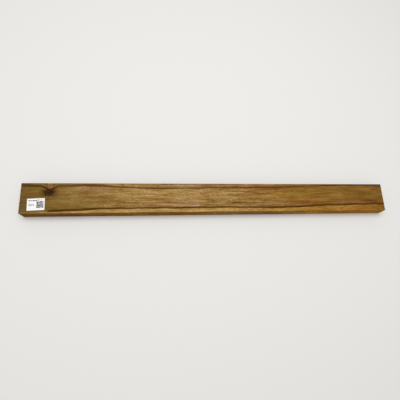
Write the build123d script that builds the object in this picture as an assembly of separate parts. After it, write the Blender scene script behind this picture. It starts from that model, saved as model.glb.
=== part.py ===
from build123d import *
import math
import os

# A sawn hardwood plank lying on its wide face, with a paper stock label stuck on top.
# Frame: +X along the grain, +Y towards the back edge, +Z up, millimetres.
# The origin is under the middle of the plank, on the surface it lies on.

os.makedirs("parts", exist_ok=True)

# The stick of timber.
plank_length = 1524.0
plank_width = 125.0
plank_thickness = 44.5

# The long edges are eased by hand, the cross-cut ends have a smaller saw-tidied chamfer.
arris_radius = 1.5
end_chamfer = 0.8

# The open pocket in the knot: a ragged mouth, walls that lean inwards and a flat floor.
# Its place is measured to the middle of its mouth.
pocket_from_left_end = 103.0
pocket_from_back_edge = 39.5
pocket_length = 34.0
pocket_width = 25.0
pocket_depth = 4.5

# The pocket's outline at half its depth and at its floor, as shares of its mouth.
pocket_waist_share = 0.86
pocket_floor_share = 0.55

# How ragged the pocket's mouth is: the share by which each point of it stands in from an ellipse,
# walked round from the right-hand tip, anticlockwise.
pocket_mouth_shares = (0.00, 0.12, 0.04, 0.20, 0.02, 0.10, 0.00, 0.16, 0.05)

# The paper label: flat on the top face, a couple of degrees out of square with the plank.
label_length = 63.5
label_width = 48.5
label_paper = 0.25
label_corner_radius = 1.0
label_from_left_end = 60.0
label_from_front_edge = 36.7
label_turn = 2.5

top_face = plank_thickness
left_end = -plank_length / 2
front_edge = -plank_width / 2
back_edge = plank_width / 2


def sawn_blank():
    """The stick with its long edges rounded and its end edges chamfered."""
    section = Rectangle(plank_thickness, plank_width)
    section = fillet(section.vertices(), arris_radius)
    along_grain = Plane(origin=(left_end, 0, plank_thickness / 2), x_dir=(0, 0, -1), z_dir=(1, 0, 0))
    stick = extrude(along_grain * section, plank_length)
    end_faces = [stick.faces().sort_by(Axis.X)[0], stick.faces().sort_by(Axis.X)[-1]]
    end_edges = end_faces[0].edges() + end_faces[1].edges()
    return chamfer(end_edges, end_chamfer)


def pocket_outline(share, depth):
    """A level cut through the pocket: points round an ellipse, each pulled in, joined by a smooth curve."""
    steps = len(pocket_mouth_shares)
    points = []
    for step, pulled_in in enumerate(pocket_mouth_shares):
        angle = 2 * math.pi * step / steps
        reach = share * (1 - pulled_in)
        along_grain = pocket_length / 2 * reach * math.cos(angle)
        across_grain = pocket_width / 2 * reach * math.sin(angle)
        points.append((along_grain, across_grain))
    place = Location((left_end + pocket_from_left_end, back_edge - pocket_from_back_edge, top_face - depth))
    return place * make_face(Spline(*points, periodic=True))


def knot_pocket():
    """The void that the lost bark leaves: one smooth wall lofted from the mouth down to the floor."""
    mouth = pocket_outline(1.0, 0)
    waist = pocket_outline(pocket_waist_share, pocket_depth / 2)
    floor = pocket_outline(pocket_floor_share, pocket_depth)
    return loft([mouth, waist, floor])


def timber_plank():
    """The blank with the knot's pocket cut into its top face."""
    return sawn_blank() - knot_pocket()


def stock_label():
    """The sticker: a thin sheet, its underside on the plank's top face."""
    place = Location(
        (left_end + label_from_left_end, front_edge + label_from_front_edge, top_face),
        (0, 0, label_turn),
    )
    return extrude(place * RectangleRounded(label_length, label_width, label_corner_radius), label_paper)


pieces = {
    "timber_plank": timber_plank(),
    "stock_label": stock_label(),
}

for name, piece in pieces.items():
    piece.label = name
    export_step(piece, f"parts/{name}.step")
    box = piece.bounding_box()
    print(f"{name}: {piece.volume:.1f} mm3, {box.size.X:.2f} x {box.size.Y:.2f} x {box.size.Z:.2f} mm")
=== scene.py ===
# %% [markdown]
# # A sawn plank of golden hardwood
# The real thing is one stick of timber, five feet long, lying on its wide face. Its long edges are eased,
# its cut ends are brushed with pale wax, one dark knot sits near the left end and a paper label beside it.
# The CAD model holds the true sizes. This lesson gives the same stick its sawn surface, its grain, its knot
# and its label. Everything is in metres, in the CAD model's own frame: X along the grain, Y away, Z up.

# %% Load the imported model
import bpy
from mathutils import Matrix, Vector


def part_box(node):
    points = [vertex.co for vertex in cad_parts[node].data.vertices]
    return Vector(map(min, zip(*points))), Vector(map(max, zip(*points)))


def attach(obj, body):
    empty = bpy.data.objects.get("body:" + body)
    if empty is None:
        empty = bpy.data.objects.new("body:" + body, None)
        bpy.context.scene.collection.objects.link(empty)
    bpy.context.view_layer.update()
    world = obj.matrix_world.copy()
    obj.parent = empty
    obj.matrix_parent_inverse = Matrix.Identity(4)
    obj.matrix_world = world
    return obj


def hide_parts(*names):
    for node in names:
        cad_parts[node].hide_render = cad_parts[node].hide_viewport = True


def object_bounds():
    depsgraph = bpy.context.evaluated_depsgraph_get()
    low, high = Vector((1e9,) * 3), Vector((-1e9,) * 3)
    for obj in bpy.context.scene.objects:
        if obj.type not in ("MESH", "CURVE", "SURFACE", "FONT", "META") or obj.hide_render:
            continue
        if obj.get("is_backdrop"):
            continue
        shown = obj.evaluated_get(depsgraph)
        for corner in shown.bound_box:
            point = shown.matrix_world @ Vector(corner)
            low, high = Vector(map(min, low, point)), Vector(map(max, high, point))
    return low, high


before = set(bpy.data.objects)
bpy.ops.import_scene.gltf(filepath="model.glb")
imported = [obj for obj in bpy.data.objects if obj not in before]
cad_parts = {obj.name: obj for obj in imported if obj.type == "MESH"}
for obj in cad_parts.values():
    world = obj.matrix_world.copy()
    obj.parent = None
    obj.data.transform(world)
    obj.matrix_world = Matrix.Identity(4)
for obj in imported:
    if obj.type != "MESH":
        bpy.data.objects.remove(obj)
cad_bounds = [list(corner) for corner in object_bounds()]

import math

import bpy
import numpy as np
from mathutils import Matrix, Vector

MM = 0.001
plank_low, plank_high = (np.array(corner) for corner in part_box("timber_plank"))
label_low, label_high = (np.array(corner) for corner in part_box("stock_label"))
plank_middle = (plank_low + plank_high) / 2
plank_half = (plank_high - plank_low) / 2
top_face = plank_high[2]
print("plank", np.round((plank_high - plank_low) / MM, 2), "mm, nodes", sorted(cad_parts))

# %% [markdown]
# ## Where the knot and its pocket are
# The knot is where a branch left the trunk. Beside it the branch's bark has fallen out and left an open
# pocket. The CAD model cuts that pocket, so this file repeats its place and size, in metres from the
# plank's own edges. The branch itself is taken as a round rod that runs through the wood on a slant: a rod
# cut by the top face and by the back face shows an oval on both, in the right places, which two painted
# spots would not.

# %% The knot's numbers
def top_place(from_left_end, from_back_edge):
    """The place on the top face that is this far from the left end and from the back edge."""
    return np.array([plank_low[0] + from_left_end, plank_high[1] - from_back_edge, top_face])


def unit(rows):
    """Each direction set to length 1."""
    return rows / np.linalg.norm(rows, axis=-1, keepdims=True)


pocket_middle = top_place(from_left_end=103 * MM, from_back_edge=39.5 * MM)
POCKET_LENGTH = 34 * MM
POCKET_WIDTH = 25 * MM
POCKET_DEPTH = 4.5 * MM
POCKET_FADE = 14 * MM
POCKET_MOUTH_SHARES = (0.00, 0.12, 0.04, 0.20, 0.02, 0.10, 0.00, 0.16, 0.05)

BRANCH_RADIUS = 12 * MM
branch_point = top_place(from_left_end=106.5 * MM, from_back_edge=8.5 * MM)
branch_way = unit(np.array([0.06, -0.50, 0.86]))
branch_side = unit(np.cross(branch_way, (0, 1, 0)))
branch_up = np.cross(branch_side, branch_way)
print("pocket at", np.round(pocket_middle / MM, 1), "branch leans", np.round(branch_way, 2))

# %% [markdown]
# ## Random fields that repeat
# Wood is never even. All its unevenness here comes from one smooth random field, stretched long along the
# grain and narrow across it. A Displace modifier could shake the surface too, but not with lumps that
# follow the tree. The field is worked out for all points at once, and the same seed always gives the same
# field, so each run of this file makes the same plank.

# %% A smooth random field
MIXERS = (0x9E3779B97F4A7C15, 0xC2B2AE3D27D4EB4F, 0x165667B19E3779F9, 0xFF51AFD7ED558CCD)
SEED_STEP = 7919
SEED_START = 17
FOLD_BITS = np.uint64(33)
DROPPED_BITS = np.uint64(40)


def soft_noise(points, cell, seed):
    """Smooth random heights from -1 to 1.

    Space is cut into boxes of the cell's size. Every box corner has a random height, made by multiplying and
    folding its whole-number address, whose top 24 bits count. A point blends its box's eight heights with the
    weights 3t^2 - 2t^3.
    """
    address = np.asarray(points, float) / np.asarray(cell, float)
    corner = np.floor(address).astype(np.int64)
    share = address - corner
    share = share * share * (3 - 2 * share)
    total = np.zeros(len(address))
    for step in np.ndindex(2, 2, 2):
        spot = (corner + step).astype(np.uint64)
        mixed = spot[:, 0] * np.uint64(MIXERS[0])
        mixed ^= spot[:, 1] * np.uint64(MIXERS[1])
        mixed ^= spot[:, 2] * np.uint64(MIXERS[2])
        mixed += np.uint64(seed * SEED_STEP + SEED_START)
        mixed ^= mixed >> FOLD_BITS
        mixed *= np.uint64(MIXERS[3])
        mixed ^= mixed >> FOLD_BITS
        height = (mixed >> DROPPED_BITS).astype(float) / 2 ** 23 - 1
        weight = np.prod(np.where(step, share, 1 - share), axis=1)
        total += weight * height
    return total


def smooth_step(value, low, high):
    """0 below low, 1 above high, and 3t^2 - 2t^3 between."""
    share = np.clip((value - low) / (high - low), 0, 1)
    return share * share * (3 - 2 * share)


probe = soft_noise(np.random.default_rng(1).random((1000, 3)), (0.1, 0.1, 0.1), 3)
print("noise runs from", round(probe.min(), 2), "to", round(probe.max(), 2))

# %% [markdown]
# ## A block with rounded edges
# The plank and the label are both blocks with softened edges. A cube with a Bevel modifier would do for a
# plain one, but sawn wood needs points all over its faces to carry the relief. So the skin is made from
# sets of grid lines: every place where a line along X, Y or Z meets the skin is one welded vertex. The
# lines are crowded where the shape is busy, at the edges and round the knot, and wide apart along the plain
# grain.

# %% Grid lines
RIM_STEPS = 4
FINE_STEPS = 8001


def spaced_lines(low, high, count, crowd_at=0.0, crowd_reach=1.0, crowd=0.0):
    """Places from low to high: equal steps of the running total of the density 1 + crowd * exp(-d^4)."""
    fine = np.linspace(low, high, FINE_STEPS)
    density = 1 + crowd * np.exp(-((fine - crowd_at) / crowd_reach) ** 4)
    total = np.concatenate([[0], np.cumsum((density[1:] + density[:-1]) / 2)])
    return np.interp(np.linspace(0, total[-1], count), total, fine)


def add_rims(lines, rim):
    """Adds a rim's lines at both ends: the rim times the tangents of equal angles up to 45 degrees."""
    turns = rim * np.tan(np.radians(np.linspace(0, 45, RIM_STEPS + 1)[1:]))
    return np.concatenate([lines[0] - turns[::-1], lines, lines[-1] + turns])


def block_lines(low, high, rims, counts, crowds=((), (), ())):
    """A block's lines along X, Y and Z: spaced lines between the rims, and the rims' lines outside them."""
    rows = zip(low + rims, high - rims, counts, crowds)
    return [add_rims(spaced_lines(*row[:3], *row[3]), rim) for row, rim in zip(rows, rims)]


print("four steps from 0 to 1, crowded at 1:", spaced_lines(0, 1, 5, 1.0, 0.5, 3.0).round(2))


# %% The skin that the lines cut out
def block_skin(lines):
    """The vertices and outward quads of a block cut by three sets of lines.

    A vertex has an address of three line numbers, folded into one key. The two ends of each axis give a grid
    of keys, four neighbours make a quad, and equal keys weld the six grids along their borders.
    """
    counts = [len(row) for row in lines]
    quads = []
    for axis in range(3):
        first, second = (axis + 1) % 3, (axis + 2) % 3
        for end in (0, 1):
            address = np.zeros((counts[first], counts[second], 3), np.int64)
            address[..., axis] = end * (counts[axis] - 1)
            address[..., first] = np.arange(counts[first])[:, None]
            address[..., second] = np.arange(counts[second])[None, :]
            key = (address[..., 0] * counts[1] + address[..., 1]) * counts[2] + address[..., 2]
            grid = np.stack([key[:-1, :-1], key[1:, :-1], key[1:, 1:], key[:-1, 1:]], -1).reshape(-1, 4)
            quads.append(grid if end else grid[:, ::-1])
    used, faces = np.unique(np.concatenate(quads), return_inverse=True)
    numbers = np.unravel_index(used, counts)
    points = np.stack([lines[axis][numbers[axis]] for axis in range(3)], 1)
    return points, faces.reshape(-1, 4)


def round_off(points, middle, half, rims):
    """Rounds a block's edges: each point's part beyond the inner block is pulled onto a quarter circle.

    The part beyond the inner block is divided by the rims, set to length 1 and multiplied back. Gives the new
    points and the outward directions there.
    """
    local = points - middle
    inner = np.clip(local, rims - half, half - rims)
    beyond = unit((local - inner) / rims)
    return middle + inner + beyond * rims, unit(beyond / rims)


cube_corners, cube_quads = block_skin([np.array([0.0, 1.0])] * 3)
print("a cube has", len(cube_corners), "corners and", len(cube_quads), "faces")


# %% From arrays to an object in the scene
def put_in_scene(name, data):
    """A new object of this data, at the origin, linked to the scene."""
    thing = bpy.data.objects.new(name, data)
    bpy.context.scene.collection.objects.link(thing)
    return thing


def make_piece(name, points, quads, fields=None):
    """Puts arrays into a mesh object at the origin, with smooth faces and one attribute for each field."""
    mesh = bpy.data.meshes.new(name)
    mesh.vertices.add(len(points))
    mesh.vertices.foreach_set("co", np.asarray(points, np.float32).ravel())
    mesh.loops.add(quads.size)
    mesh.loops.foreach_set("vertex_index", quads.ravel().astype(np.int32))
    mesh.polygons.add(len(quads))
    mesh.polygons.foreach_set("loop_start", np.arange(0, quads.size, 4, dtype=np.int32))
    mesh.polygons.foreach_set("use_smooth", np.ones(len(quads), bool))
    for field, values in (fields or {}).items():
        kind, slot = ("FLOAT_VECTOR", "vector") if values.ndim == 2 else ("FLOAT", "value")
        row = mesh.attributes.new(field, kind, "POINT")
        row.data.foreach_set(slot, np.asarray(values, np.float32).ravel())
    mesh.update(calc_edges=True)
    mesh.validate()
    print(name, len(points), "points,", 2 * len(quads), "triangles")
    return put_in_scene(name, mesh)


# %% [markdown]
# ## The plank's bare skin
# The real stick has hand-eased long edges and barely broken end edges. Its skin gets the same two rims as
# the CAD model. About 240 lines cross the grain and 130 run with it. Near the pocket they stand up to ten
# times closer, because only there does the surface change within a millimetre.

# %% The plank's bare skin
ARRIS_RADIUS = 1.5 * MM
END_RIM = 0.8 * MM
LINE_COUNTS = (236, 124, 36)
POCKET_CROWDS = ((pocket_middle[0], 34 * MM, 9.0), (pocket_middle[1], 26 * MM, 0.9), ())
plank_rims = np.array([END_RIM, ARRIS_RADIUS, ARRIS_RADIUS])
plank_lines = block_lines(plank_low, plank_high, plank_rims, LINE_COUNTS, POCKET_CROWDS)
skin_points, plank_quads = block_skin(plank_lines)
skin_points, skin_outward = round_off(skin_points, plank_middle, plank_half, plank_rims)
line_steps = np.diff(plank_lines[0]) / MM
print("bare skin", len(skin_points), "points, steps", line_steps.min().round(2), line_steps.max().round(2))

# %% [markdown]
# ## The tree inside the plank
# A plank's figure is a slice through a tree, so the grain is worked out in three dimensions and not painted
# on the faces. The pith, the tree's middle, lies below and behind the plank. A point's distance from it
# says which year grew that wood. Two lines in the photograph were measured with care: the dark edge of the
# pale sapwood near the front, and a dark year line near the back. The slice is stretched so that both fall
# where they were measured. Near the knot the years bulge round the branch. All faces read the same field,
# so a dark line that leaves the top face over an end carries on down the end grain.

# %% The two measured lines
SAPWOOD_LINE = ((-762, -58.3), (-600, -56.3), (-450, -49.2), (-300, -48.0), (-110, -46.8), (20, -46.0),
                (270, -48.8), (410, -43.0), (550, -38.6), (670, -35.6), (762, -35.4))
YEAR_LINE = ((-762, 51.0), (-690, 48.8), (-600, 49.3), (-540, 51.6), (-390, 46.0), (-270, 41.0), (-110, 41.0),
             (20, 44.2), (150, 43.0), (370, 50.0), (560, 57.0), (762, 59.0))


def smooth_line(stops, places):
    """A smooth curve through stops in millimetres: cubic pieces whose slopes come from the neighbours."""
    along, across = np.array(stops, float).T * MM
    slopes = np.gradient(across, along)
    piece = np.clip(np.searchsorted(along, places) - 1, 0, len(along) - 2)
    width = along[piece + 1] - along[piece]
    share = (places - along[piece]) / width
    start = across[piece] * (1 + 2 * share) * (1 - share) ** 2
    start += slopes[piece] * width * share * (1 - share) ** 2
    end = across[piece + 1] * share ** 2 * (3 - 2 * share)
    end += slopes[piece + 1] * width * share ** 2 * (share - 1)
    return start + end


lines_halfway = [smooth_line(line, np.zeros(1))[0] / MM for line in (SAPWOOD_LINE, YEAR_LINE)]
print("halfway along, the lines are at Y", np.round(lines_halfway, 1), "mm")

# %% Years, sapwood and knot at any point
PITH = np.array([110, -40]) * MM
SAPWOOD_HOME = -42 * MM
YEAR_HOME = 46 * MM
KNOT_BULGE = 18 * MM
KNOT_BULGE_REACH = np.array([18, 30]) * MM
SAPWOOD_WANDER = 0.8 * MM
YEAR_WANDER = 0.7 * MM
MEAN_RADIUS = 150 * MM


def distance_from_pith(across, height):
    """The length of the line from the pith to a point of the plank's section."""
    return np.hypot(PITH[0] - across, height - PITH[1])


def tree_fields(points):
    """What the wood is at each point: its place in the tree, and its distances from the lines and the knot.

    across_home is where the point would be if both measured lines ran straight. The years are its distance
    from the pith, and the place round the tree is the angle there times a mean radius. The knot's place is
    measured square to the branch and along it, and its reach is a share of the branch's radius.
    """
    x, y, z = points.T
    sapwood_y = smooth_line(SAPWOOD_LINE, x) + SAPWOOD_WANDER * soft_noise(points, (0.045, 1.0, 1.0), 7)
    year_y = smooth_line(YEAR_LINE, x) + YEAR_WANDER * soft_noise(points, (0.035, 1.0, 1.0), 8)
    near_x = (x - branch_point[0]) / KNOT_BULGE_REACH[0]
    near_y = (y - year_y) / KNOT_BULGE_REACH[1]
    bulged_y = y + KNOT_BULGE * np.exp(-near_x ** 2 - near_y ** 2)
    share = (bulged_y - sapwood_y) / (year_y - sapwood_y)
    across_home = SAPWOOD_HOME + share * (YEAR_HOME - SAPWOOD_HOME)
    years = distance_from_pith(across_home, z)
    round_tree = np.arctan2(z - PITH[1], PITH[0] - across_home) * MEAN_RADIUS
    from_branch = points - branch_point
    knot_place = np.stack([from_branch @ branch_side, from_branch @ branch_up, from_branch @ branch_way], 1)
    return {
        "tree_place": np.stack([x, years, round_tree], 1),
        "heart_side": distance_from_pith(SAPWOOD_HOME, top_face) - years,
        "year_side": years - distance_from_pith(YEAR_HOME, top_face),
        "knot_place": knot_place,
        "knot_reach": np.hypot(knot_place[:, 0], knot_place[:, 1]) / BRANCH_RADIUS,
    }


fields = tree_fields(skin_points)
for field, values in fields.items():
    print(field, "from", np.round(values.min(0), 4), "to", np.round(values.max(0), 4))

# %% [markdown]
# ## How near the pocket is
# The pocket's torn walls, the stain about it and the colour inside it all start from one measure: how far a
# point lies from the pocket's middle, as a share of its mouth. The mouth is a ragged ellipse, as in the CAD
# model, and noise tears its outline a little more. A painted mask would do for the top face alone.

# %% How far a point is from the pocket
MOUTH_RAGGEDNESS = 0.13


def pocket_rim(turn):
    """How far the pocket's mouth reaches at a turn round its middle, as a share of its ellipse."""
    stops = 2 * np.pi * np.arange(len(POCKET_MOUTH_SHARES) + 1) / len(POCKET_MOUTH_SHARES)
    shares = 1 - np.array(POCKET_MOUTH_SHARES + POCKET_MOUTH_SHARES[:1])
    return np.interp(np.mod(turn, 2 * np.pi), stops, shares)


def pocket_reach(points):
    """0 at the pocket's middle and 1 at its mouth: the distance in an ellipse, over the mouth's ragged reach.

    It grows with the depth under the top face too, so nothing of the pocket shows on the underside.
    """
    along = (points[:, 0] - pocket_middle[0]) / (POCKET_LENGTH / 2)
    across = (points[:, 1] - pocket_middle[1]) / (POCKET_WIDTH / 2)
    below = (points[:, 2] - top_face) / POCKET_FADE
    ragged = 1 + MOUTH_RAGGEDNESS * soft_noise(points, (7 * MM, 3 * MM, 9 * MM), 41)
    flat_reach = np.hypot(along, across) / (pocket_rim(np.arctan2(across, along)) * ragged)
    return np.hypot(flat_reach, below)


skin_reach = pocket_reach(skin_points)
print("points inside the pocket's mouth:", int((skin_reach < 1).sum()))

# %% [markdown]
# ## The sawn surface
# The blade and the planer leave the wood nearly flat, but not quite: the face waves a little, harder years
# stand a hair proud, the arrises are bruised where the stick was handled, the ends show the saw's strokes
# and the pocket has torn walls. Each of these is a depth under a perfect block: a random field or a wave
# times its own greatest depth. Adding them up gives one number at each point, and the point moves inwards
# by it. A bump map could shade the same marks, but would leave the outline ruler straight. All of it only
# takes wood away, so the plank never grows past its CAD box.

# %% Depth of everything that is missing from a perfect block
FACE_WAVE = 0.10 * MM
YEAR_RIDGE = 0.08 * MM
GRAIN_TEAR = 0.06 * MM
TORN_RIM = 0.35 * MM
SAW_STROKE = 0.10 * MM
SAW_PITCH = 5.2 * MM
SAW_CURVE = 1.6
ARRIS_MOST = 0.29
ARRIS_WEAR = 0.12 * MM
ARRIS_BRUISE = 0.75 * MM
KNOT_DISH = 0.35 * MM
KNOT_RIFT = 0.55 * MM


def missing_wood(points, outward, reach, fields):
    """How deep each point lies under the perfect block, in metres, never less than nothing.

    Each mark is its depth times a share from 0 to 1. The saw's strokes are a sine of the height, bent across
    the end. Wear and bruises follow how far a direction leans from all three axes, 0.29 at most on an arris.
    """
    on_top = smooth_step(outward[:, 2], 0.6, 0.95)
    on_end = smooth_step(np.abs(outward[:, 0]), 0.6, 0.95)
    on_arris = 1 - np.max(np.abs(outward), axis=1)
    place = fields["tree_place"]
    wave = FACE_WAVE * (1 + soft_noise(points, (0.14, 0.05, 0.05), 1)) / 2
    ridges = YEAR_RIDGE * (1 + soft_noise(place, (0.60, 4 * MM, 0.20), 2)) / 2
    tear = GRAIN_TEAR * (1 + soft_noise(place, (40 * MM, 2.2 * MM, 3 * MM), 3)) / 2
    torn_strands = smooth_step(soft_noise(place, (0.03, 1.6 * MM, 3 * MM), 9), 0.1, 0.8)
    tear += TORN_RIM * smooth_step(1.9 - reach, 0.0, 0.8) * torn_strands
    stroke_height = points[:, 2] + SAW_CURVE * points[:, 1] ** 2
    strokes = SAW_STROKE * (1 + np.sin(stroke_height / SAW_PITCH * 2 * np.pi)) / 2
    bruise = smooth_step(soft_noise(points, (22 * MM, 9 * MM, 9 * MM), 4), 0.45, 0.9)
    arris_wear = on_arris / ARRIS_MOST * (ARRIS_WEAR + ARRIS_BRUISE * bruise)
    bowl = POCKET_DEPTH * smooth_step(1.02 - reach, 0.0, 0.48) * on_top
    bowl *= 0.86 + 0.14 * soft_noise(points, (5 * MM, 2.2 * MM, 5 * MM), 5)
    knot = smooth_step(fields["knot_reach"], 1.3, 0.9)
    dish = KNOT_DISH * knot * (1 - 0.5 * fields["knot_reach"].clip(0, 1))
    rift = smooth_step(1.22 - np.abs(fields["knot_reach"] - 1.0) * 9, 0.1, 1.0)
    rift *= KNOT_RIFT * smooth_step(soft_noise(points, (4 * MM, 4 * MM, 4 * MM), 6), -0.2, 0.5)
    flat_wear = wave + (ridges + tear) * (1 - on_end) + strokes * on_end
    return flat_wear + arris_wear + bowl + dish + rift


depth = missing_wood(skin_points, skin_outward, skin_reach, fields)
plank_points = skin_points - skin_outward * depth[:, None]
print("missing wood: mean", round(depth.mean() / MM, 3), "mm, deepest", round(depth.max() / MM, 2), "mm")

# %% [markdown]
# ## What the finish needs to know
# A few more facts are stored at the points for the finish to read: how near the pocket is, how near a sawn
# end, whether the point is on a narrow edge face, and where the photograph shows single dark, reddish,
# pinkish or pale streaks in the top face. A streak is an ellipse, long with the grain, that fades like
# exp(-d^2) and with depth. Streaks could be painted by hand as vertex colours, but as rows of numbers they
# can be moved one by one.

# %% The plank, with what its finish reads
# Each streak: its middle along X and Y, its reach along X and Y, in millimetres, and its strength.
STREAKS = {
    "dark": (
        (458, -29, 62, 4.5, 0.8), (694, -19, 42, 7, 0.9), (245, 48, 125, 9, 0.55), (185, 47, 64, 9, 0.55),
        (-261, -20.8, 56, 1.8, 0.45), (-724, 33, 14, 3, 0.8), (600, 54, 110, 5, 0.5),
        (170, -23, 40, 3, 0.45), (560, -30, 110, 7, 0.5), (-560, -38, 120, 9, 0.5), (-585, -28, 60, 6, 0.4),
        (-722, 50, 42, 4, 0.5), (-540, 55, 80, 6, 0.35), (-730, 57, 60, 6, 0.25), (-156, -11, 50, 5, 0.5),
        (-490, 37, 62, 7, 0.65), (-507, -14, 55, 9, 0.45), (530, -13, 70, 11, 0.35),
        (640, -14, 60, 9, 0.35), (160, 30, 30, 8, 0.35), (-348, -10, 34, 5, 1.0), (-395, -25, 115, 9, 0.42),
        (-95, -24, 26, 7, 0.3), (540, -24, 34, 6, 0.6), (42, 52, 34, 5, 0.4), (205, -30, 24, 5, 0.35),
        (250, -27, 120, 8, 0.22), (140, -39, 50, 4, 0.4), (-288, -10, 26, 4, 0.35), (316, -49, 32, 4, 0.3),
    ),
    "red": (
        (458, -27, 60, 5, 1.0), (-724, 20, 15, 7, 1.0), (695, 36.5, 34, 6, 0.5), (190, 44, 90, 7, 0.8),
        (178, 25, 22, 9, 0.7), (-170, -11, 50, 5, 0.6), (-722, 50, 42, 5, 0.9), (-350, 26, 50, 7, 0.4),
        (-540, 55, 90, 6, 0.6), (-690, 20, 30, 6, 0.4), (-640, -59, 34, 4, 0.6),
    ),
    "pink": (
        (-130, 54, 190, 9, 0.9), (-190, -36.5, 150, 5, 0.8), (-540, 58, 130, 6, 1.0),
        (-730, 58, 60, 5, 1.0), (-300, 16, 60, 6, 0.4), (180, -34, 90, 5, 0.4), (730, -23, 25, 4, 0.6),
    ),
    "pale": (
        (-190, -36.5, 140, 4, 0.4), (-582, -19, 46, 3.4, 1.0), (-261, -16.5, 56, 2, 0.5),
        (-240, -25, 40, 2, 0.3), (-525, 16, 50, 6, 0.65), (-430, 20, 60, 3, 0.2), (20, 17, 120, 12, 0.25),
        (60, 58, 60, 3, 0.25), (143, -18.7, 45, 2, 0.4), (90, -52, 110, 6, 0.3), (410, -50, 45, 5, 0.25),
        (-560, -60, 80, 4, 0.3), (695, 36.5, 34, 6, 0.6), (-650, 0, 25, 5, 0.3), (-58, 19, 44, 16, 1.0),
        (-640, -59, 34, 4, 0.5), (250, 18, 32, 7, 0.45), (112, 24, 28, 5, 0.6), (-273, 16, 38, 5, 0.5),
        (-30, -38, 55, 4, 0.4), (-225, 42, 26, 5, 0.35),
    ),
}
STREAK_SINK = 14 * MM


def streaks(points, ellipses):
    """The strongest of several ellipses at each point: exp(-d^2) in the face, and the same with the depth."""
    strength = np.zeros(len(points))
    sunk = (points[:, 2] - top_face) / STREAK_SINK
    for along, across, reach_along, reach_across, most in ellipses:
        away = ((points[:, 0] / MM - along) / reach_along) ** 2
        away += ((points[:, 1] / MM - across) / reach_across) ** 2
        strength = np.maximum(strength, most * np.exp(-away - sunk ** 2))
    return strength


fields["pocket_reach"] = skin_reach
fields["end_gap"] = plank_half[0] - np.abs(skin_points[:, 0] - plank_middle[0])
fields["edge_face"] = smooth_step(np.abs(skin_outward[:, 1]), 0.55, 0.95)
fields["end_face"] = smooth_step(np.abs(skin_outward[:, 0]), 0.55, 0.95)
for tint, ellipses in STREAKS.items():
    fields[tint + "_streak"] = streaks(skin_points, ellipses)
timber = make_piece("timber", plank_points, plank_quads, fields)
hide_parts("timber_plank")
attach(timber, "root")

# %% [markdown]
# ## Bark left in the pocket
# The photograph shows dark, torn stuff in the pocket, with strands that fan out from the knot. Each strand
# is a closed sliver: a profile of eight corners carried along a short line, thick in the middle and narrow
# at both ends. Hair would be quicker to strew, but closed slivers are shapes that any other program can
# read. All slivers are worked out in one set of arrays, sliver by station by corner, and joined in one
# mesh.

# %% Slivers of bark
SLIVERS = 74
STATIONS = 9
CORNERS = 8
# The slivers' half sizes run from the smallest to the largest, in millimetres.
HALF_LENGTHS = (2.0, 5.8)
HALF_WIDTHS = (0.45, 1.50)
HALF_HEIGHTS = (0.22, 0.60)
RAGGEDNESS = (0.70, 1.20)
SPREAD = 0.80


def bark_slivers():
    """Points of all slivers, as an array of sliver by station by corner.

    A sliver's line runs outwards from the knot and its ring is as wide as the square root of 1 - s^2, for s
    from just above -1 to just below 1. Every corner's distance is changed a little by chance. The slivers lie
    0.84 of the pocket's depth down at its middle, and less deep toward its mouth.
    """
    chance = np.random.default_rng(12)
    spread = np.sqrt(chance.random(SLIVERS)) * SPREAD
    turn = chance.random(SLIVERS) * 2 * np.pi
    middle = np.stack([
        pocket_middle[0] + spread * np.cos(turn) * POCKET_LENGTH / 2,
        pocket_middle[1] + spread * np.sin(turn) * POCKET_WIDTH / 2,
        top_face - POCKET_DEPTH * (0.84 - 0.44 * spread ** 2 - 0.26 * chance.random(SLIVERS)),
    ], 1)
    way = (middle - branch_point) * (1, 1, 0)
    way = unit(unit(way) + chance.normal(0, 0.24, (SLIVERS, 3)) * (1, 1, 0.30))
    level = unit(np.cross(way, (0, 0, 1)))
    roll = chance.normal(0, 0.5, (SLIVERS, 1))
    side = level * np.cos(roll) + np.cross(level, way) * np.sin(roll)
    up = np.cross(side, way)
    half_length = chance.uniform(*HALF_LENGTHS, SLIVERS) * MM
    half_width = chance.uniform(*HALF_WIDTHS, SLIVERS) * MM
    half_height = chance.uniform(*HALF_HEIGHTS, SLIVERS) * MM
    station = np.sin(np.linspace(-1.45, 1.45, STATIONS))
    bend = chance.normal(0, 0.5, SLIVERS) * MM
    angle = np.linspace(0, 2 * np.pi, CORNERS, endpoint=False)
    ragged = chance.uniform(*RAGGEDNESS, (SLIVERS, STATIONS, CORNERS))
    ring = np.sqrt(1 - station ** 2)[None, :, None] * ragged
    across = ring * np.cos(angle) * half_width[:, None, None] + (bend[:, None] * station ** 2)[..., None]
    lift = ring * np.sin(angle) * half_height[:, None, None]
    line = middle[:, None] + (station * half_length[:, None])[..., None] * way[:, None]
    return line[:, :, None] + across[..., None] * side[:, None, None] + lift[..., None] * up[:, None, None]


sliver_points = bark_slivers()
print("slivers reach up to", round((sliver_points[..., 2].max() - top_face) / MM, 2), "mm above the face")


# %% The slivers' faces
def sliver_quads():
    """Outward quads of the slivers: sides between neighbouring rings, and three quads on each end ring."""
    index = np.arange(SLIVERS * STATIONS * CORNERS).reshape(SLIVERS, STATIONS, CORNERS)
    turned = np.roll(index, -1, axis=2)
    sides = np.stack([index[:, :-1], index[:, 1:], turned[:, 1:], turned[:, :-1]], -1)
    cap = np.array([(0, 1, 2, 7), (7, 2, 3, 6), (6, 3, 4, 5)])
    last_ring = index[:, -1][:, cap[:, ::-1]]
    first_ring = index[:, 0][:, cap]
    return np.concatenate([sides.reshape(-1, 4), last_ring.reshape(-1, 4), first_ring.reshape(-1, 4)])


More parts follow.
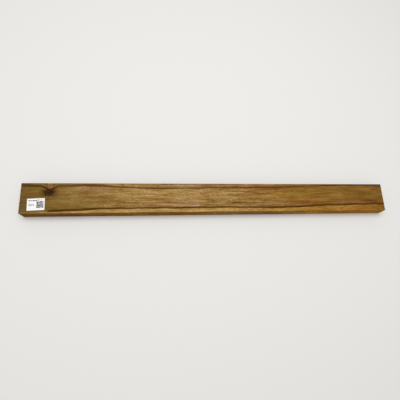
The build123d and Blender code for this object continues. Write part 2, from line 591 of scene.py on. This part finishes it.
sliver_shade = np.repeat(np.random.default_rng(5).random(SLIVERS), STATIONS * CORNERS)
bark = make_piece("knot_bark", sliver_points.reshape(-1, 3), sliver_quads(), {"shade": sliver_shade})
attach(bark, "root")

# %% [markdown]
# ## The paper label
# A sticker is a very thin block. A plane would do, but would have no edge to catch the light. So the label
# uses the same grid skin as the plank, bent by a slow wave, because paper on sawn wood is never quite flat,
# and with one corner that has let go. It is turned a couple of degrees, as a hand sticks it. Its printed
# marks come from its UV map, which runs from 0 to 1 along and across the paper.

# %% The label's mesh
LABEL_LENGTH = 63.5 * MM
LABEL_WIDTH = 48.5 * MM
LABEL_CORNER = 1 * MM
LABEL_TURN = math.radians(2.5)
PAPER = 0.11 * MM
PAPER_WAVE = 0.030 * MM
CORNER_LIFT = 0.07 * MM
LABEL_LINE_COUNTS = (64, 50, 2)
EDGE_ROUNDNESS = 0.98

label_middle = (label_low + label_high) / 2
label_half = np.array([LABEL_LENGTH / 2, LABEL_WIDTH / 2, PAPER / 2])
label_rims = np.array([LABEL_CORNER, LABEL_CORNER, PAPER / 2 * EDGE_ROUNDNESS])


def label_sheet():
    """The sheet's points, quads and map: a flat block, lifted by a wave and at one corner, and turned."""
    flat, quads = block_skin(block_lines(-label_half, label_half, label_rims, LABEL_LINE_COUNTS))
    flat, _ = round_off(flat, np.zeros(3), label_half, label_rims)
    chart = flat[:, :2] / (2 * label_half[:2]) + 0.5
    wave = PAPER_WAVE * (1 + soft_noise(flat, (16 * MM, 11 * MM, 1.0), 21))
    toward_corner = (flat[:, 0] / label_half[0] - flat[:, 1] / label_half[1]) / 2
    peel = CORNER_LIFT * smooth_step(toward_corner, 0.72, 1.0)
    flat[:, 2] += wave + peel
    turned = flat.copy()
    turned[:, 0] = flat[:, 0] * math.cos(LABEL_TURN) - flat[:, 1] * math.sin(LABEL_TURN)
    turned[:, 1] = flat[:, 0] * math.sin(LABEL_TURN) + flat[:, 1] * math.cos(LABEL_TURN)
    turned += (label_middle[0], label_middle[1], top_face + PAPER / 2)
    return turned, quads, chart


label_points, label_quads, label_chart = label_sheet()
label = make_piece("paper_label", label_points, label_quads)
chart = label.data.uv_layers.new(name="paper")
chart.data.foreach_set("uv", label_chart[label_quads.ravel()].astype(np.float32).ravel())
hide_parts("stock_label")
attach(label, "root")
print("label top", round((label_points[:, 2].max() - top_face) / MM, 3), "mm above the wood")

# %% [markdown]
# ## A small kit for finishes
# A material in Blender is a tree of nodes. Written node by node it is long, so a small class adds nodes by
# name and joins them, and each finish below then reads from top to bottom like a recipe. A finish keeps the
# colour that it has so far, and each coat or tint changes it, as a painter would. Colours are written as
# the 0 to 255 values that a screen shows, and turned into the linear light that the shader wants.

def light_of(colour):
    """Linear red, green, blue and alpha from screen values: the sRGB curve undone."""
    screen = np.array(colour) / 255
    linear = np.where(screen <= 0.04045, screen / 12.92, ((screen + 0.055) / 1.055) ** 2.4)
    return (*linear.tolist(), 1.0)


class Finish:
    """A material whose nodes are added by short calls. Its colour is built up coat by coat."""

    def __init__(self, name, roughness, gloss, colour=None):
        self.material = bpy.data.materials.new(name)
        self.material.use_nodes = True
        self.tree = self.material.node_tree
        self.tree.nodes.clear()
        self.surface = self.add("ShaderNodeBsdfPrincipled")
        self.surface.inputs["Roughness"].default_value = roughness
        self.surface.inputs["Specular IOR Level"].default_value = gloss
        output = self.add("ShaderNodeOutputMaterial")
        self.tree.links.new(self.surface.outputs["BSDF"], output.inputs["Surface"])
        self.colour = colour

    def add(self, kind, **settings):
        """A new node with its settings."""
        node = self.tree.nodes.new(kind)
        for setting, value in settings.items():
            setattr(node, setting, value)
        return node

    def plug(self, socket, value):
        """Joins a socket to another node's output, or sets it to a plain value."""
        if isinstance(value, bpy.types.NodeSocket):
            self.tree.links.new(value, socket)
        elif socket.type == "RGBA":
            socket.default_value = (*value[:3], 1.0)
        else:
            socket.default_value = value

    def field(self, name):
        """A number that the mesh carries."""
        return self.add("ShaderNodeAttribute", attribute_name=name).outputs["Fac"]

    def place(self, name):
        """A place that the mesh carries."""
        return self.add("ShaderNodeAttribute", attribute_name=name).outputs["Vector"]

    def axes(self, place):
        """The three numbers of a place."""
        node = self.add("ShaderNodeSeparateXYZ")
        self.plug(node.inputs[0], place)
        return node.outputs

    def calc(self, operation, first, second=0.0):
        """One operation on two numbers."""
        node = self.add("ShaderNodeMath", operation=operation)
        self.plug(node.inputs[0], first)
        self.plug(node.inputs[1], second)
        return node.outputs[0]

    def times(self, *values):
        """The product of several numbers."""
        total = values[0]
        for value in values[1:]:
            total = self.calc("MULTIPLY", total, value)
        return total

    def most(self, *values):
        """The largest of several numbers."""
        total = values[0]
        for value in values[1:]:
            total = self.calc("MAXIMUM", total, value)
        return total

    def plus(self, start, *pairs):
        """The start, plus each value times its weight."""
        total = start
        for value, weight in pairs:
            total = self.calc("ADD", total, self.times(value, weight))
        return total

    def weigh(self, start, *pairs):
        """The start, plus each value's distance from a half times its weight."""
        return self.plus(start, *((self.calc("SUBTRACT", value, 0.5), weight) for value, weight in pairs))

    def noise(self, place, cell, seed=0.0, detail=1.0, roughness=0.5):
        """Smooth noise about 0.5 whose lumps are the cell's size, in metres."""
        scaled = self.add("ShaderNodeVectorMath", operation="MULTIPLY_ADD")
        self.plug(scaled.inputs[0], place)
        scaled.inputs[1].default_value = [1 / side for side in cell]
        scaled.inputs[2].default_value = (seed, seed * 1.7, seed * 0.6)
        node = self.add("ShaderNodeTexNoise")
        self.plug(node.inputs["Vector"], scaled.outputs[0])
        node.inputs["Scale"].default_value = 1.0
        node.inputs["Detail"].default_value = detail
        node.inputs["Roughness"].default_value = roughness
        return node.outputs[0]

    def step(self, value, low, high):
        """0 at low and 1 at high, eased at both; low may be the larger."""
        node = self.add("ShaderNodeMapRange", interpolation_type="SMOOTHSTEP")
        self.plug(node.inputs[0], value)
        limits = (low, high, 0.0, 1.0) if low < high else (high, low, 1.0, 0.0)
        for number, limit in enumerate(limits, 1):
            node.inputs[number].default_value = limit
        return node.outputs[0]

    def hump(self, value, middle, reach):
        """1 where the value is at the middle, falling to 0 a reach away on both sides."""
        away = self.calc("ABSOLUTE", self.calc("SUBTRACT", value, middle))
        return self.step(away, reach, 0.0)

    def mix(self, share, first, second, way="MIX"):
        """The first colour at share 0 and the second, or their product, at share 1."""
        node = self.add("ShaderNodeMix", data_type="RGBA", blend_type=way)
        self.plug(node.inputs[0], share)
        self.plug(node.inputs[6], first)
        self.plug(node.inputs[7], second)
        return node.outputs[2]

    def coat(self, colour, *shares):
        """Lays a colour over the coats before it, as thick as the product of the shares."""
        self.colour = self.mix(self.times(*shares), self.colour, colour)

    def tint(self, multiplier, *shares):
        """Takes the colour so far toward itself times the multiplier."""
        self.colour = self.mix(self.times(*shares), self.colour, multiplier, "MULTIPLY")

    def cover(self, piece):
        """Joins the colour to the shader and puts the material on a piece."""
        self.plug(self.surface.inputs["Base Color"], self.colour)
        piece.data.materials.append(self.material)

    def ramp(self, value, *stops):
        """A colour that changes along a value from 0 to 1, through stops of a position and a colour."""
        node = self.add("ShaderNodeValToRGB")
        elements = node.color_ramp.elements
        while len(elements) < len(stops):
            elements.new(0.5)
        for element, (position, colour) in zip(elements, stops):
            element.position = position
            element.color = (*colour[:3], 1.0)
        self.plug(node.inputs[0], value)
        return node.outputs[0]

    def relief(self, height, depth):
        """Fine relief: a height from 0 to 1 that stands for this many metres."""
        node = self.add("ShaderNodeBump")
        node.inputs["Strength"].default_value = 1.0
        node.inputs["Distance"].default_value = depth
        self.plug(node.inputs["Height"], height)
        self.plug(self.surface.inputs["Normal"], node.outputs[0])


print("kit ready; mid brown is", [round(value, 3) for value in light_of((150, 118, 68))[:3]])

# %% [markdown]
# ## The heartwood
# The photograph shows golden brown heartwood with fine streaks along the grain. The recipe follows the
# tree. Each year ends in a thin, dark, sharp-edged layer of late wood. Fibres in bundles of all widths make
# light and dark streaks, so noise is summed in three widths. The streaks are strong in the middle of the
# plank and faint at its ends. All of that is one number, the tone, which a colour ramp turns into wood:
# dark streaks are browner as well as darker, which plain dimming would miss.

# %% Heartwood tone
YEAR_WIDTH = 6.3 * MM
SAWN_ROUGHNESS = 0.74
HEART_TONES = ((0.00, light_of((92, 58, 20))), (0.28, light_of((128, 92, 41))),
               (0.50, light_of((153, 117, 65))), (0.72, light_of((175, 143, 95))),
               (1.00, light_of((204, 178, 138))))

wood = Finish("golden_hardwood", roughness=SAWN_ROUGHNESS, gloss=0.05)
tree_place = wood.place("tree_place")
tree_axes = wood.axes(tree_place)


def grain(cell, seed, detail=1.0, roughness=0.5):
    """Noise that follows the tree: the cell's sides run along the trunk, through the years and round them."""
    return wood.noise(tree_place, cell, seed, detail, roughness)


length_share = wood.calc("ADD", wood.calc("DIVIDE", tree_axes[0], float(2 * plank_half[0])), 0.5)
year_wander = grain((0.42, 0.022, 0.25), 14.0, 2.0)
year_count = wood.weigh(wood.calc("DIVIDE", tree_axes[1], YEAR_WIDTH), (year_wander, 3.2))
year_share = wood.calc("FRACT", year_count)
late_wood = wood.times(wood.step(year_share, 0.35, 0.93), wood.step(year_share, 1.0, 0.94),
                       wood.step(grain((0.30, 0.012, 0.20), 4.0), 0.34, 0.66))
print("years", round(YEAR_WIDTH / MM, 1), "mm apart")

# %% Streaks of fibres
broad = grain((0.100, 0.0105, 0.018), 21.0, 1.0, 0.6)
middling = grain((0.017, 0.0042, 0.008), 27.0, 1.0, 0.6)
fine = grain((0.0075, 0.0019, 0.0036), 33.0, 2.0, 0.6)
flecks = wood.step(grain((0.009, 0.0024, 0.005), 51.0), 0.58, 0.72)
pores = wood.step(grain((0.0060, 0.00034, 0.0005), 61.0), 0.56, 0.66)

contrast = wood.plus(0.50, (wood.step(length_share, 0.05, 0.28), 0.50),
                     (wood.step(length_share, 0.52, 0.90), -0.36))
unevenness = wood.weigh(0.0, (broad, 1.00), (middling, 0.50), (fine, 0.42))
ring_weight = wood.plus(-0.15, (wood.field("end_face"), -0.45))
unevenness = wood.plus(unevenness, (late_wood, ring_weight), (flecks, 0.18))
tone = wood.plus(0.49, (unevenness, contrast), (pores, -0.15))
wood.colour = wood.ramp(tone, *HEART_TONES)
print("heartwood from", len(HEART_TONES), "tones")

# %% [markdown]
# ## Patches and sapwood
# Whole areas of the heartwood lean to pink, to olive or to gold. That is chemistry and not light, so it
# only tints the tones. The outermost years, the sapwood, are paler and warmer, and start at a sharp edge. A
# few single reddish, pinkish and pale streaks are laid over both.

# %% Patches and sapwood
SAP_TONES = ((0.00, light_of((124, 85, 38))), (0.35, light_of((154, 116, 59))),
             (0.60, light_of((172, 135, 76))), (1.00, light_of((204, 171, 114))))
PINK = (1.02, 0.92, 1.12)
OLIVE = (0.92, 0.99, 0.72)
GOLD = (1.04, 1.00, 0.82)
REDDISH = (1.02, 0.80, 0.76)
PINKISH = (0.94, 0.92, 1.42)
PALE = (1.60, 1.56, 2.25)
SAP_AMBER = (0.96, 0.81, 0.65)

patches = (((0.26, 0.018, 0.05), 3.0, 0.50, 0.68, PINK),
           ((0.20, 0.020, 0.05), 9.0, 0.52, 0.70, OLIVE),
           ((0.15, 0.015, 0.05), 17.0, 0.52, 0.68, GOLD))
for cell, seed, none_at, full_at, multiplier in patches:
    wood.tint(multiplier, wood.step(grain(cell, seed, 2.0), none_at, full_at))

heart_side = wood.field("heart_side")
sap_tone = wood.weigh(0.56, (broad, 0.9), (middling, 0.9), (fine, 0.6))
sapwood = wood.ramp(wood.plus(sap_tone, (pores, -0.10)), *SAP_TONES)
sapwood = wood.mix(wood.step(length_share, 0.76, 0.90), sapwood, SAP_AMBER, "MULTIPLY")
wood.coat(sapwood, wood.step(heart_side, 0.0005, -0.0005))
for tint, multiplier in (("red", REDDISH), ("pink", PINKISH), ("pale", PALE)):
    wood.tint(multiplier, wood.field(tint + "_streak"))
print("patches and sapwood ready")

# %% [markdown]
# ## The two dark lines
# A dark line borders the sapwood and another runs near the back edge. Each is a band of one measured field:
# how far a point lies from that line, counted through the years. A painted stroke would stop at the arris,
# but these bands turn over it. Noise along the grain makes them fade and darken again, and the back line is
# darkest at the knot. Over all of it the wood turns from a dull olive brown at the left end, through pale
# gold, to orange brown. That turn of hue is the wood's own colour, but its darkening toward both ends is
# painted shade, where less light falls on the top face.

# %% The dark lines
LINE_BROWN = light_of((84, 48, 0))
DARK_RED = (0.60, 0.48, 0.38)

edge_face = wood.field("edge_face")
line_wander = wood.weigh(heart_side, (grain((0.04, 1.0, 1.0), 71.0, 3.0), 0.0044))
sap_line = wood.times(wood.step(line_wander, 0.0084, 0.0046), wood.step(line_wander, -0.0004, 0.0003))
line_strength = wood.step(grain((0.07, 1.0, 1.0), 77.0, 2.0), 0.30, 0.60)
line_strength = wood.weigh(0.90, (line_strength, 0.20))
right_faint = wood.times(wood.step(length_share, 0.80, 0.92), 0.7)
line_faint = wood.most(wood.hump(length_share, 0.57, 0.06), right_faint)
line_strength = wood.plus(line_strength, (line_faint, -0.26))
past_label = wood.step(length_share, 0.060, 0.074)
line_strength = wood.times(line_strength, past_label, wood.step(edge_face, 1.3, 0.0))
wood.coat(LINE_BROWN, sap_line, line_strength)

year_side = wood.field("year_side")
knot_reach = wood.field("knot_reach")
near_knot = wood.step(knot_reach, 3.2, 1.6)
year_line = wood.times(wood.step(year_side, -0.0044, -0.0004), wood.step(year_side, 0.0026, 0.0004))
year_strength = wood.step(grain((0.09, 1.0, 1.0), 81.0, 2.0), 0.36, 0.60)
year_strength = wood.most(wood.weigh(0.68, (year_strength, 0.36)), near_knot)
wood.coat(LINE_BROWN, year_line, year_strength)
wood.tint(DARK_RED, wood.field("dark_streak"))
print("dark lines ready")

# %% The turn of colour from end to end, with painted shade toward both ends
LENGTH_TINTS_AND_SHADE = ((0.00, (0.41, 0.42, 0.34)), (0.05, (0.59, 0.66, 0.53)), (0.10, (0.66, 0.71, 0.55)),
                (0.17, (0.79, 0.82, 0.72)), (0.26, (0.92, 0.975, 0.94)), (0.42, (0.91, 0.965, 0.985)),
                (0.60, (0.81, 0.81, 0.69)), (0.76, (0.71, 0.62, 0.37)), (0.87, (0.72, 0.67, 0.41)),
                (1.00, (0.57, 0.51, 0.27)))
# Painted shade: these tints darken the top face toward both ends, where less light falls, and are lightest a
# little left of the middle. The turn from olive brown through pale gold to orange brown is the wood's own
# colour.
wood.tint(wood.ramp(length_share, *LENGTH_TINTS_AND_SHADE), wood.plus(1.0, (edge_face, -0.9)))
print("tints along the plank:", len(LENGTH_TINTS_AND_SHADE))

# %% [markdown]
# ## The knot and its pocket
# The branch has rings of its own, so the knot is orange with darker rings and a few cracks that run out
# from its middle. The plank's own grain would run straight through it, so the knot's finish reads places
# that are measured from the branch. A thin dark sheath of bark lies round it. The pocket is nearly black
# inside, and the wood about it is stained: the stain creeps further along the grain than across it, in
# feathery strands.

# %% The knot's own wood
KNOT_LIGHT = light_of((156, 119, 76))
KNOT_MID = light_of((132, 96, 57))
KNOT_DARK = light_of((84, 52, 24))
STAIN_BROWN = light_of((64, 42, 20))
BARK_BLACK = light_of((34, 20, 8))
BARK_RED = light_of((72, 42, 18))
STAIN_TINT = (0.72, 0.58, 0.46)

knot_place = wood.place("knot_place")
pocket_near = wood.field("pocket_reach")
knot_wobble = wood.noise(knot_place, (0.009, 0.009, 0.030), 5.0, 2.0)
wobbled_reach = wood.weigh(knot_reach, (knot_wobble, 0.5))
knot_rings = wood.calc("FRACT", wood.times(wobbled_reach, 5.0))
knot_rings = wood.times(wood.step(knot_rings, 0.1, 0.8), wood.step(knot_rings, 1.0, 0.86))
knot_fibres = wood.noise(knot_place, (0.0016, 0.0016, 0.012), 15.0, 2.0)
knot_tone = wood.weigh(0.40, (knot_wobble, 1.2), (knot_fibres, 0.8))
knot_tone = wood.plus(knot_tone, (knot_rings, 0.34))
knot_colour = wood.ramp(knot_tone, (0.10, KNOT_LIGHT), (0.55, KNOT_MID), (1.00, KNOT_DARK))

flat_knot = wood.add("ShaderNodeVectorMath", operation="MULTIPLY")
wood.plug(flat_knot.inputs[0], knot_place)
flat_knot.inputs[1].default_value = (1, 1, 0)
spoke = wood.add("ShaderNodeVectorMath", operation="NORMALIZE")
wood.plug(spoke.inputs[0], flat_knot.outputs[0])
knot_crack = wood.hump(wood.noise(spoke.outputs[0], (0.45, 0.45, 1.0), 2.0), 0.5, 0.018)
knot_crack = wood.times(knot_crack, wood.step(knot_reach, 0.05, 0.3), wood.step(knot_reach, 0.95, 0.6))
knot_colour = wood.mix(knot_crack, knot_colour, BARK_BLACK)
print("knot has rings, fibres and cracks")

# %% Stain, sheath, knot and pocket, coat by coat
stain_strands = grain((0.016, 0.0016, 0.003), 91.0, 2.0)
stain_reach = wood.weigh(pocket_near, (stain_strands, -1.7))
stain = wood.step(stain_reach, 1.66, 1.00)
wood.tint(STAIN_TINT, wood.step(stain_reach, 2.9, 1.5))
wood.coat(STAIN_BROWN, stain, 0.88)
wood.coat(BARK_RED, wood.hump(wobbled_reach, 1.12, 0.20), 0.85)
wood.coat(knot_colour, wood.step(wobbled_reach, 1.04, 0.94))
wood.coat(STAIN_BROWN, stain, wood.step(wobbled_reach, 0.5, 1.1), 0.7)
pocket_colour = wood.mix(wood.step(stain_strands, 0.46, 0.62), BARK_BLACK, BARK_RED)
wood.coat(pocket_colour, wood.step(pocket_near, 1.04, 0.90))
print("knot and pocket ready")

# %% [markdown]
# ## The narrow faces, drying checks and wax
# The narrow edges are browner and darker than the top face, most of all toward the left end. The brown is
# their own colour. The darkening is painted shade, because an upright face gets less light than the top and
# the light falls off toward the ends. Low down they turn greyer, and a pale strip runs along the lowest few
# millimetres near the middle. That could be a second material, but as a tint it lets each line run on over
# the arris.
# The ends are sealed with pale wax against drying. A brush laps it a few millimetres over the arrises,
# thinly here and there, and short drying cracks start at the ends in spite of it.

# %% The narrow faces
LEFT_EDGE_AGE_AND_SHADE = (0.545, 0.385, 0.10)
RIGHT_EDGE_AGE_AND_SHADE = (0.81, 0.69, 0.19)
EDGE_GREY = light_of((118, 96, 64))
PALE_LOW_STRIP = light_of((170, 150, 116))

object_place = wood.add("ShaderNodeTexCoord").outputs["Object"]
object_axes = wood.axes(object_place)

edge_uneven = wood.noise(object_place, (0.13, 0.02, 0.012), 44.0, 3.0)
edge_age_and_shade = wood.mix(wood.step(length_share, 0.50, 0.90), LEFT_EDGE_AGE_AND_SHADE, RIGHT_EDGE_AGE_AND_SHADE)
# Painted shade: this tint darkens the narrow faces, which get less light than the top, most toward the left
# end. It also browns them, which is their own colour.
wood.tint(edge_age_and_shade, edge_face, wood.step(edge_uneven, 0.15, 0.45))
# The narrow faces turn greyer toward their bottom.
low_down = wood.step(object_axes[2], 0.020, 0.004)
wood.coat(EDGE_GREY, edge_face, low_down, wood.step(edge_uneven, 0.40, 0.62), 0.45)
# A pale strip in patches along the lowest few millimetres of the narrow faces, near X = 0.10 m; the mask
# below picks those patches.
bare = wood.step(wood.noise(object_place, (0.05, 0.02, 0.012), 49.0, 2.0), 0.38, 0.52)
lowest = wood.step(object_axes[2], 0.0050, 0.0016)
wood.coat(PALE_LOW_STRIP, bare, lowest, wood.hump(object_axes[0], 0.10, 0.17), edge_face)
print("narrow faces aged")

# %% End checks and wax
CHECK_BROWN = light_of((52, 34, 16))
WAX = light_of((204, 190, 160))
end_gap = wood.field("end_gap")
check_noise = grain((0.30, 0.055, 0.0065), 66.0)
check_length = grain((1.0, 0.02, 0.004), 68.0)
check_end = wood.step(wood.weigh(end_gap, (check_length, -0.060)), 0.010, 0.002)
checks = wood.times(wood.hump(check_noise, 0.5, 0.010), check_end)
wood.coat(CHECK_BROWN, checks, 0.85)

brush = wood.noise(object_place, (0.010, 0.018, 0.0016), 25.0, 3.0)
lap = wood.weigh(end_gap, (wood.noise(object_place, (0.02, 0.006, 0.005), 29.0, 2.0), -0.0060))
end_wax = wood.times(wood.field("end_face"), wood.weigh(0.56, (brush, 1.1)))
wax = wood.most(wood.times(wood.step(lap, 0.0022, 0.0006), 0.50), end_wax)
wax = wood.calc("MINIMUM", wax, 0.95)
wood.coat(WAX, wax)
print("ends checked and waxed")

# %% [markdown]
# ## Fine relief and the sheen
# Pores, fibres and hairline checks are finer than the mesh, so they are bump: the renderer tilts the
# light's reflection and leaves the shape alone. Sawn wood is dull, and only the wax is a little smoother.

# %% Fine relief and the sheen
GRAIN_RELIEF = 0.30 * MM
chatter = wood.noise(object_place, (0.0040, 0.05, 0.05), 37.0)
grain_height = wood.weigh(0.5, (fine, 0.55), (middling, 0.35), (chatter, 0.12))
grain_height = wood.plus(grain_height, (pores, -0.45), (checks, -0.9), (knot_crack, -0.9))
wood.relief(grain_height, GRAIN_RELIEF)
roughness = wood.weigh(SAWN_ROUGHNESS, (fine, 0.25), (broad, 0.15))
wood.plug(wood.surface.inputs["Roughness"], wood.plus(roughness, (wax, -0.18)))
wood.cover(timber)
print("wood finish has", len(wood.tree.nodes), "nodes")

# %% [markdown]
# ## Bark
# Old bark is dull, nearly black where it is deep and grey where it has frayed. Each sliver carries one
# number, its shade, and noise moves it a little, so that no two slivers match and none is even.

# %% Bark finish
BARK_RELIEF = 0.3 * MM
BARK_GREY = light_of((108, 82, 50))
torn_bark = Finish("torn_bark", roughness=0.85, gloss=0.08)
bark_place = torn_bark.add("ShaderNodeTexCoord").outputs["Object"]
bark_noise = torn_bark.noise(bark_place, (0.0030, 0.0020, 0.0020), 2.0, 3.0)
bark_tone = torn_bark.weigh(torn_bark.field("shade"), (bark_noise, 1.0))
torn_bark.colour = torn_bark.ramp(bark_tone, (0.25, BARK_BLACK), (0.70, BARK_RED), (1.00, BARK_GREY))
torn_bark.relief(torn_bark.noise(bark_place, (0.0008, 0.0008, 0.0008), 6.0, 2.0), BARK_RELIEF)
torn_bark.cover(bark)
print("bark finish has", len(torn_bark.tree.nodes), "nodes")

# %% [markdown]
# ## The label's print
# A stock label has a heading, a few small lines and a square patch of print. All of it is made up here. The
# lines are rows of chance blocks, cut into lengths as words would be, and the patch is a chance mosaic, so
# nothing can be read or scanned. Both snap the paper's map to small cells and ask for one random number in
# each cell. An image would do the same, but this stays sharp at any size.

# %% Paper and print
PAPER_WHITE = light_of((236, 234, 231))
PAPER_SHADE = light_of((228, 226, 223))
PRINT_BLACK = light_of((34, 36, 42))
PRINT_GREY = light_of((92, 94, 100))
PAPER_RELIEF = 0.04 * MM
# Each word of the print starts and ends at these distances from the paper's left edge, in millimetres.
HEADING = ((4.6, 12.4), (13.4, 19.2), (20.2, 29.8), (30.6, 36.5))
TOP_MARKS = ((38.0, 43.5), (46.0, 47.6), (51.5, 53.0), (56.5, 58.0))
FIRST_LINE = ((5.5, 9.0), (10.2, 13.0))
SECOND_LINE = ((5.5, 12.0), (13.2, 19.5), (20.5, 25.5))

paper = Finish("label_paper", roughness=0.55, gloss=0.4)
paper_axes = paper.axes(paper.add("ShaderNodeUVMap", uv_map="paper").outputs[0])
from_left = paper.times(paper_axes[0], LABEL_LENGTH / MM)
from_top = paper.times(paper.calc("SUBTRACT", 1.0, paper_axes[1]), LABEL_WIDTH / MM)


def between(value, low, high):
    """1 between two limits and 0 outside, with an edge a tenth of a millimetre soft."""
    return paper.times(paper.step(value, low - 0.05, low + 0.05), paper.step(value, high + 0.05, high - 0.05))


def chance_cells(width, height, seed):
    """One random number in each cell of the paper, the cell's sides in millimetres."""
    cell = paper.add("ShaderNodeCombineXYZ")
    paper.plug(cell.inputs[0], paper.calc("FLOOR", paper.calc("DIVIDE", from_left, width)))
    paper.plug(cell.inputs[1], paper.calc("FLOOR", paper.calc("DIVIDE", from_top, height)))
    cell.inputs[2].default_value = seed
    chance = paper.add("ShaderNodeTexWhiteNoise", noise_dimensions="3D")
    paper.plug(chance.inputs["Vector"], cell.outputs[0])
    return chance.outputs["Value"]


print("paper", round(LABEL_LENGTH / MM, 1), "by", round(LABEL_WIDTH / MM, 1), "mm")


# %% Rows of print
def print_line(top, height, words, letter, ink, seed):
    """A row of blocks that stands for print: cells as wide as a letter, inked by chance, inside the words."""
    marks = paper.step(chance_cells(letter, height / 3, seed), 0.99 - ink, 1.01 - ink)
    lengths = paper.most(*(between(from_left, left, right) for left, right in words))
    return paper.times(marks, lengths, between(from_top, top, top + height))


top_marks = print_line(5.4, 3.2, TOP_MARKS, 0.80, 0.95, 5.0)
heading = paper.most(print_line(6.9, 3.5, HEADING, 0.62, 0.96, 2.0), top_marks)
small_print = paper.most(print_line(18.6, 2.6, FIRST_LINE, 0.45, 0.60, 8.0),
                         print_line(23.4, 2.6, SECOND_LINE, 0.45, 0.78, 11.0),
                         print_line(27.2, 2.8, SECOND_LINE, 0.45, 0.82, 14.0))
print("lines of print ready")

# %% The mosaic, and the paper's own colour
MODULE = 1.16
BLOCK = 3.48
MOSAIC_ACROSS = (33.64, 59.16)
MOSAIC_DOWN = (11.60, 39.44)

modules = chance_cells(MODULE, MODULE, 21.0)
blocks = chance_cells(BLOCK, BLOCK, 25.0)
mosaic = paper.step(paper.weigh(modules, (blocks, 0.50)), 0.29, 0.30)
mosaic = paper.times(mosaic, between(from_left, *MOSAIC_ACROSS), between(from_top, *MOSAIC_DOWN))

paper_place = paper.add("ShaderNodeTexCoord").outputs["Object"]
paper_fibre = paper.noise(paper_place, (0.0008, 0.0008, 0.0008), 3.0, 3.0)
paper.colour = paper.mix(paper_fibre, PAPER_WHITE, PAPER_SHADE)
paper.coat(PRINT_GREY, small_print)
paper.coat(PRINT_BLACK, paper.most(heading, mosaic))
paper.relief(paper_fibre, PAPER_RELIEF)
paper.cover(label)
print("label printed with", len(paper.tree.nodes), "nodes")

# %% [markdown]
# ## Floor and light
# The plank lies on a plain pale floor under one large soft light, as in a studio. A wide lamp above and
# behind gives the top face an even light and the narrow front face less of it, with a soft shadow on the
# floor. The even light of the world fills the shadows. A small lamp would draw hard shadows and a hot spot
# on the wood.

# %% Floor and light
FLOOR_REACH = 30
FLOOR_GREY = light_of((219, 218, 215))
floor_corners = [(FLOOR_REACH * x, FLOOR_REACH * y, 0) for x, y in ((-1, -1), (1, -1), (1, 1), (-1, 1))]
floor_mesh = bpy.data.meshes.new("floor")
floor_mesh.from_pydata(floor_corners, [], [(0, 1, 2, 3)])
floor = put_in_scene("floor", floor_mesh)
floor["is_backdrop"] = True
Finish("pale_floor", roughness=0.8, gloss=0.2, colour=FLOOR_GREY).cover(floor)

KEY_POWER = 77.0
KEY_SIZES = (3.4, 2.0)
WORLD_STRENGTH = 0.60
KEY_PLACE = Vector((-0.15, 0.55, 3.2))
KEY_AIM = Vector((-0.05, 0.0, 0.0))
key = bpy.data.lights.new("soft_key", "AREA")
key.shape = "RECTANGLE"
key.size, key.size_y = KEY_SIZES
key.energy = KEY_POWER
key_lamp = put_in_scene("soft_key", key)
key_lamp.location = KEY_PLACE
key_lamp.rotation_euler = (KEY_AIM - KEY_PLACE).to_track_quat("-Z", "Y").to_euler()

world = bpy.data.worlds.new("studio")
world.use_nodes = True
backdrop = world.node_tree.nodes["Background"]
backdrop.inputs["Color"].default_value = (1.0, 1.0, 1.0, 1.0)
backdrop.inputs["Strength"].default_value = WORLD_STRENGTH
bpy.context.scene.world = world
bpy.context.scene.view_settings.view_transform = "Standard"
print("key light", KEY_POWER, "W, world", WORLD_STRENGTH)

# %% [markdown]
# ## The camera
# The camera stands where the photographer's did. It was found by fitting a pinhole camera to the six
# corners of the plank that the photograph shows: nearly overhead, a little left of the middle, with the
# wide lens of a pocket camera. The lens did not point at the middle of the picture, as when a picture is
# cropped, and the camera's shift makes up for that. Pixels are counted from the upper left corner of a
# square of 400.

# %% The camera
CAMERA_PLACE = Vector((-0.1482, -0.4336, 1.1295 + float(top_face)))
CAMERA_ELEVATION = math.radians(76.63)
CAMERA_YAW = math.radians(7.69)
CAMERA_ROLL = math.radians(1.21)
FRAME_PIXELS = 400
FOCAL_PIXELS = 288.1
LENS_CENTRE_PIXELS = (220.6, 235.7)
SENSOR = 36.0

camera = bpy.data.cameras.new("camera")
camera.sensor_width = SENSOR
camera.lens = FOCAL_PIXELS * SENSOR / FRAME_PIXELS
camera.shift_x = (FRAME_PIXELS / 2 - LENS_CENTRE_PIXELS[0]) / FRAME_PIXELS
camera.shift_y = (LENS_CENTRE_PIXELS[1] - FRAME_PIXELS / 2) / FRAME_PIXELS
view = put_in_scene("camera", camera)
turn = Matrix.Rotation(math.pi / 2 - CAMERA_ELEVATION, 4, "X")
turn = turn @ Matrix.Rotation(-CAMERA_YAW, 4, "Y") @ Matrix.Rotation(-CAMERA_ROLL, 4, "Z")
view.matrix_world = Matrix.Translation(CAMERA_PLACE) @ turn
bpy.context.scene.camera = view
print("lens", round(camera.lens, 2), "mm, shift", round(camera.shift_x, 4), round(camera.shift_y, 4))

# %% [markdown]
# ## Measure and finish
# The bounds of everything that shows are written beside those of the CAD model. The sawn surface only takes
# wood away, so the dressed plank has to come out a hair smaller on every side, and never larger.

# %% Measure and finish
visual_bounds = [list(corner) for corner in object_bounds()]
grown = (np.array(visual_bounds) - np.array(cad_bounds)) / MM
print("moved in by", grown.round(3).tolist(), "mm")
